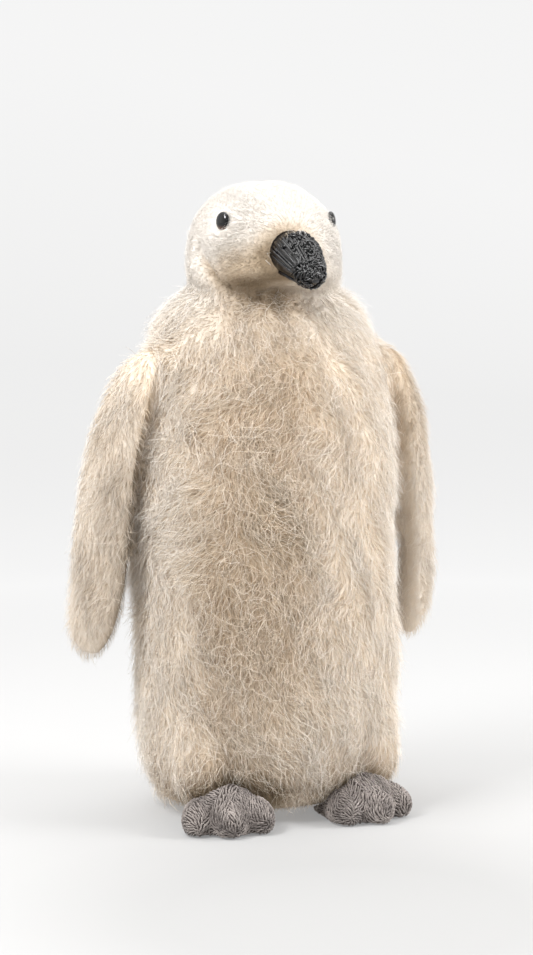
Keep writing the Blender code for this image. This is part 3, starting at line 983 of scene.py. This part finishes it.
# The feet: stuffed bags with three toes, knitted in taupe yarn. The stitches run in columns from the top of
# the foot out over the toes and lean left and right by turns.
yarn, tree, shader = new_material("taupe_yarn")
fibres = add_node(tree, "ShaderNodeGroup", {"Scale": 1400, "Relief": 0.0003}, node_tree=grain)
shade = add_node(tree, "ShaderNodeAttribute", attribute_name="shade")["Fac"]
mixed = add_math(tree, "MULTIPLY_ADD", fibres["Mottle"], 0.75, shade)
taupe = (0.25, (0.065, 0.052, 0.048)), (0.95, (0.40, 0.355, 0.33))
feed(tree, shader, {
    "Base Color": add_ramp(tree, mixed, *taupe),
    "Roughness": 0.85,
    "Specular IOR Level": 0.25,
    "Sheen Weight": 0.2,
    "Normal": fibres["Normal"],
})
# The bag under the stitches is painted dark, as painted shade in the gaps between them
gap_shade_core, tree, shader = new_material("taupe_backing")
fibres = add_node(tree, "ShaderNodeGroup", {"Scale": 600, "Relief": 0.0004}, node_tree=grain)
taupe = (0, (0.040, 0.031, 0.028)), (1, (0.10, 0.082, 0.075))
feed(tree, shader, {
    "Base Color": add_ramp(tree, fibres["Mottle"], *taupe),
    "Roughness": 0.95,
    "Normal": fibres["Normal"],
})

yarn_radius, stitch_half, stitch_gap = 0.00037, 0.0016, 0.00102
stitch_taper = (0.5, 0.9, 1.0, 0.95, 0.75)
stitch_rings = len(stitch_taper)
column_pairs = 15  # in a whole turn about the ankle
tries_per_mm2 = 5.0
sole_gap = 0.0012  # height below which no stitch begins
bag_grid, bag_sunk = 0.0010, 0.0008  # size of the bag's faces and how far it lies inside
for side in ("left", "right"):
    foot = cut_from(f"foot_{side}", f"foot_bag_{side}")
    rework(foot, weld, net(bag_grid), ease(5), let_out(-bag_sunk))
    points = read_points(foot.data)
    points[:, 2] = np.maximum(points[:, 2], 0)
    write_points(foot.data, points)
    foot.data.shade_smooth()
    unwrap()
    foot.data.materials.clear()
    foot.data.materials.append(gap_shade_core)
    bag = read_cloth(foot)
    low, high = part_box(f"foot_{side}")
    ankle = np.array(((low.x + high.x) / 2, high.y + 0.004, high.z))

    # Stitches spread evenly, none nearer than stitch_gap to another
    draw = np.random.default_rng(41)
    face, weights = plant(bag, tries_per_mm2, np.ones(len(bag["points"])), draw)
    roots = at_roots(bag, bag["points"], face, weights)
    kept = []
    for index in draw.permutation(len(roots)):
        if not kept or np.min(np.sum((roots[kept] - roots[index]) ** 2, axis=1)) > stitch_gap**2:
            kept.append(index)
    kept = np.array(kept)[roots[kept][:, 2] > sole_gap]
    face, weights, roots = face[kept], weights[kept], roots[kept]
    up = unit(at_roots(bag, bag["normals"], face, weights))
    flow = unit(roots - ankle)
    flow = unit(flow - up * np.sum(flow * up, axis=1, keepdims=True))
    side_way = np.cross(up, flow)
    bearing = np.arctan2(roots[:, 0] - ankle[0], ankle[1] - roots[:, 1])
    lean = 0.50 * np.sign(np.sin(bearing * column_pairs + 1.5 * waves(roots, 0.014, 51)))
    lean = lean + 0.16 * waves(roots, 0.010, 52) + draw.normal(0, 0.04, len(roots))
    heading = flow * np.cos(lean)[:, None] + side_way * np.sin(lean)[:, None]
    half = stitch_half * draw.uniform(0.8, 1.2, len(roots))
    swell = draw.uniform(0.7, 1.4, len(roots))
    path = []
    for ring in range(stitch_rings + 1):
        step = (ring / stitch_rings - 0.5) * 2
        spot, near = settle_on(bag, roots + heading * (half * step)[:, None], np.ones(len(roots)))
        lift = 0.0005 * swell * (1 - step * step) - 0.0001
        spot = spot + bag["normals"][near] * lift[:, None]
        spot[:, 2] = np.maximum(spot[:, 2], 1.25 * yarn_radius)
        path.append(spot)
    thick = yarn_radius * draw.uniform(0.85, 1.2, len(roots))
    radii = np.stack([thick * share for share in stitch_taper])
    tones = 0.16 + 0.22 * draw.random(len(roots)) + 0.12 * waves(roots, 0.006, 53)
    root_map = np.einsum("ij,ijk->ik", weights, bag["map"][face])
    knit = spun_mesh(f"knit_{side}", np.stack(path), up, radii, tones.clip(0, 1), root_map, 5, 0.85)
    knit.data.materials.append(yarn)
    for piece in (foot, knit):
        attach(piece, "root")
    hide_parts(f"foot_{side}")
